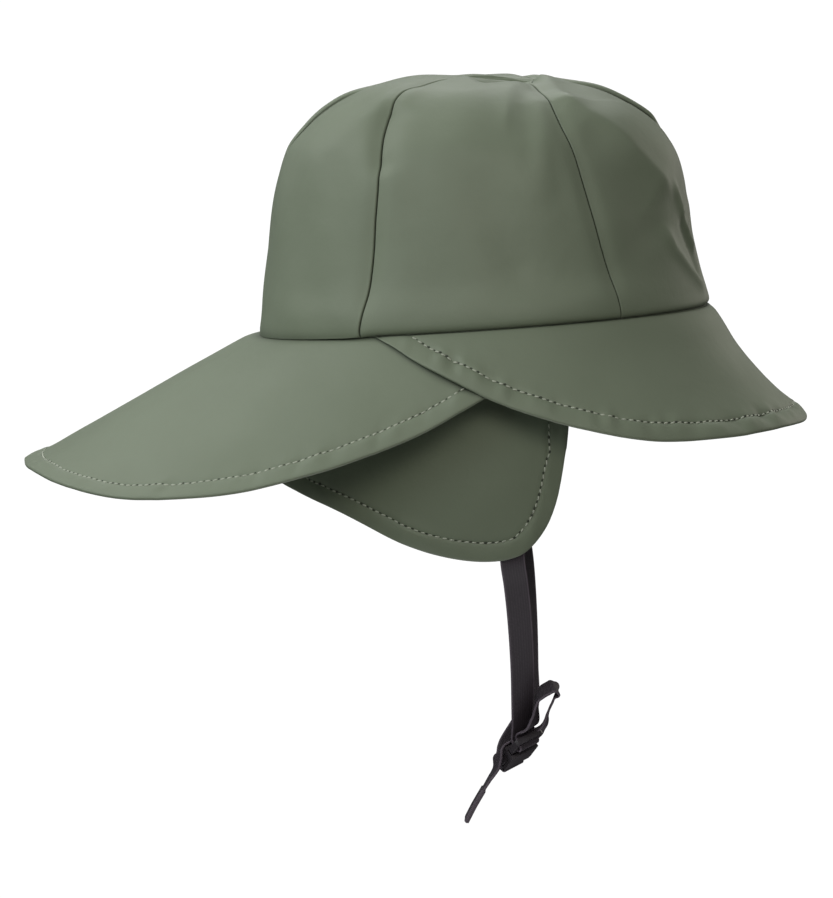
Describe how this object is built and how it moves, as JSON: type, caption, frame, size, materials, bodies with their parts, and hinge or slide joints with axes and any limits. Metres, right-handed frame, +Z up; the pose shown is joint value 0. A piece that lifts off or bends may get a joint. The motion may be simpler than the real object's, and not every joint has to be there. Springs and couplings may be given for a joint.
{
  "type": "rain hat",
  "caption": "Child's rain hat with a panelled crown, a front brim lapped over a long rear brim, an ear and neck flap, and a chin strap closed by a small buckle.",
  "frame": {"origin": "middle of the crown's opening, half way up the tilted brim seam, where the hat sits on a head", "axes": "+X to the front of the hat, +Y to the wearer's left, +Z up"},
  "size_m": [0.3245, 0.1928, 0.3114],
  "materials": {
    "coated_fabric": "satin coated",
    "strap_tape": "woven matte",
    "buckle_plastic": "matte"
  },
  "bodies": {
    "root": {"crown_front_right": "coated_fabric", "crown_side_right": "coated_fabric", "crown_back_right": "coated_fabric", "crown_front_left": "coated_fabric", "crown_side_left": "coated_fabric", "crown_back_left": "coated_fabric", "front_brim": "coated_fabric", "rear_brim": "coated_fabric", "ear_neck_flap": "coated_fabric", "chin_strap_right": "strap_tape", "chin_strap_left": "strap_tape", "buckle_plug": "buckle_plastic", "buckle_socket": "buckle_plastic"}
  },
  "joints": []
}
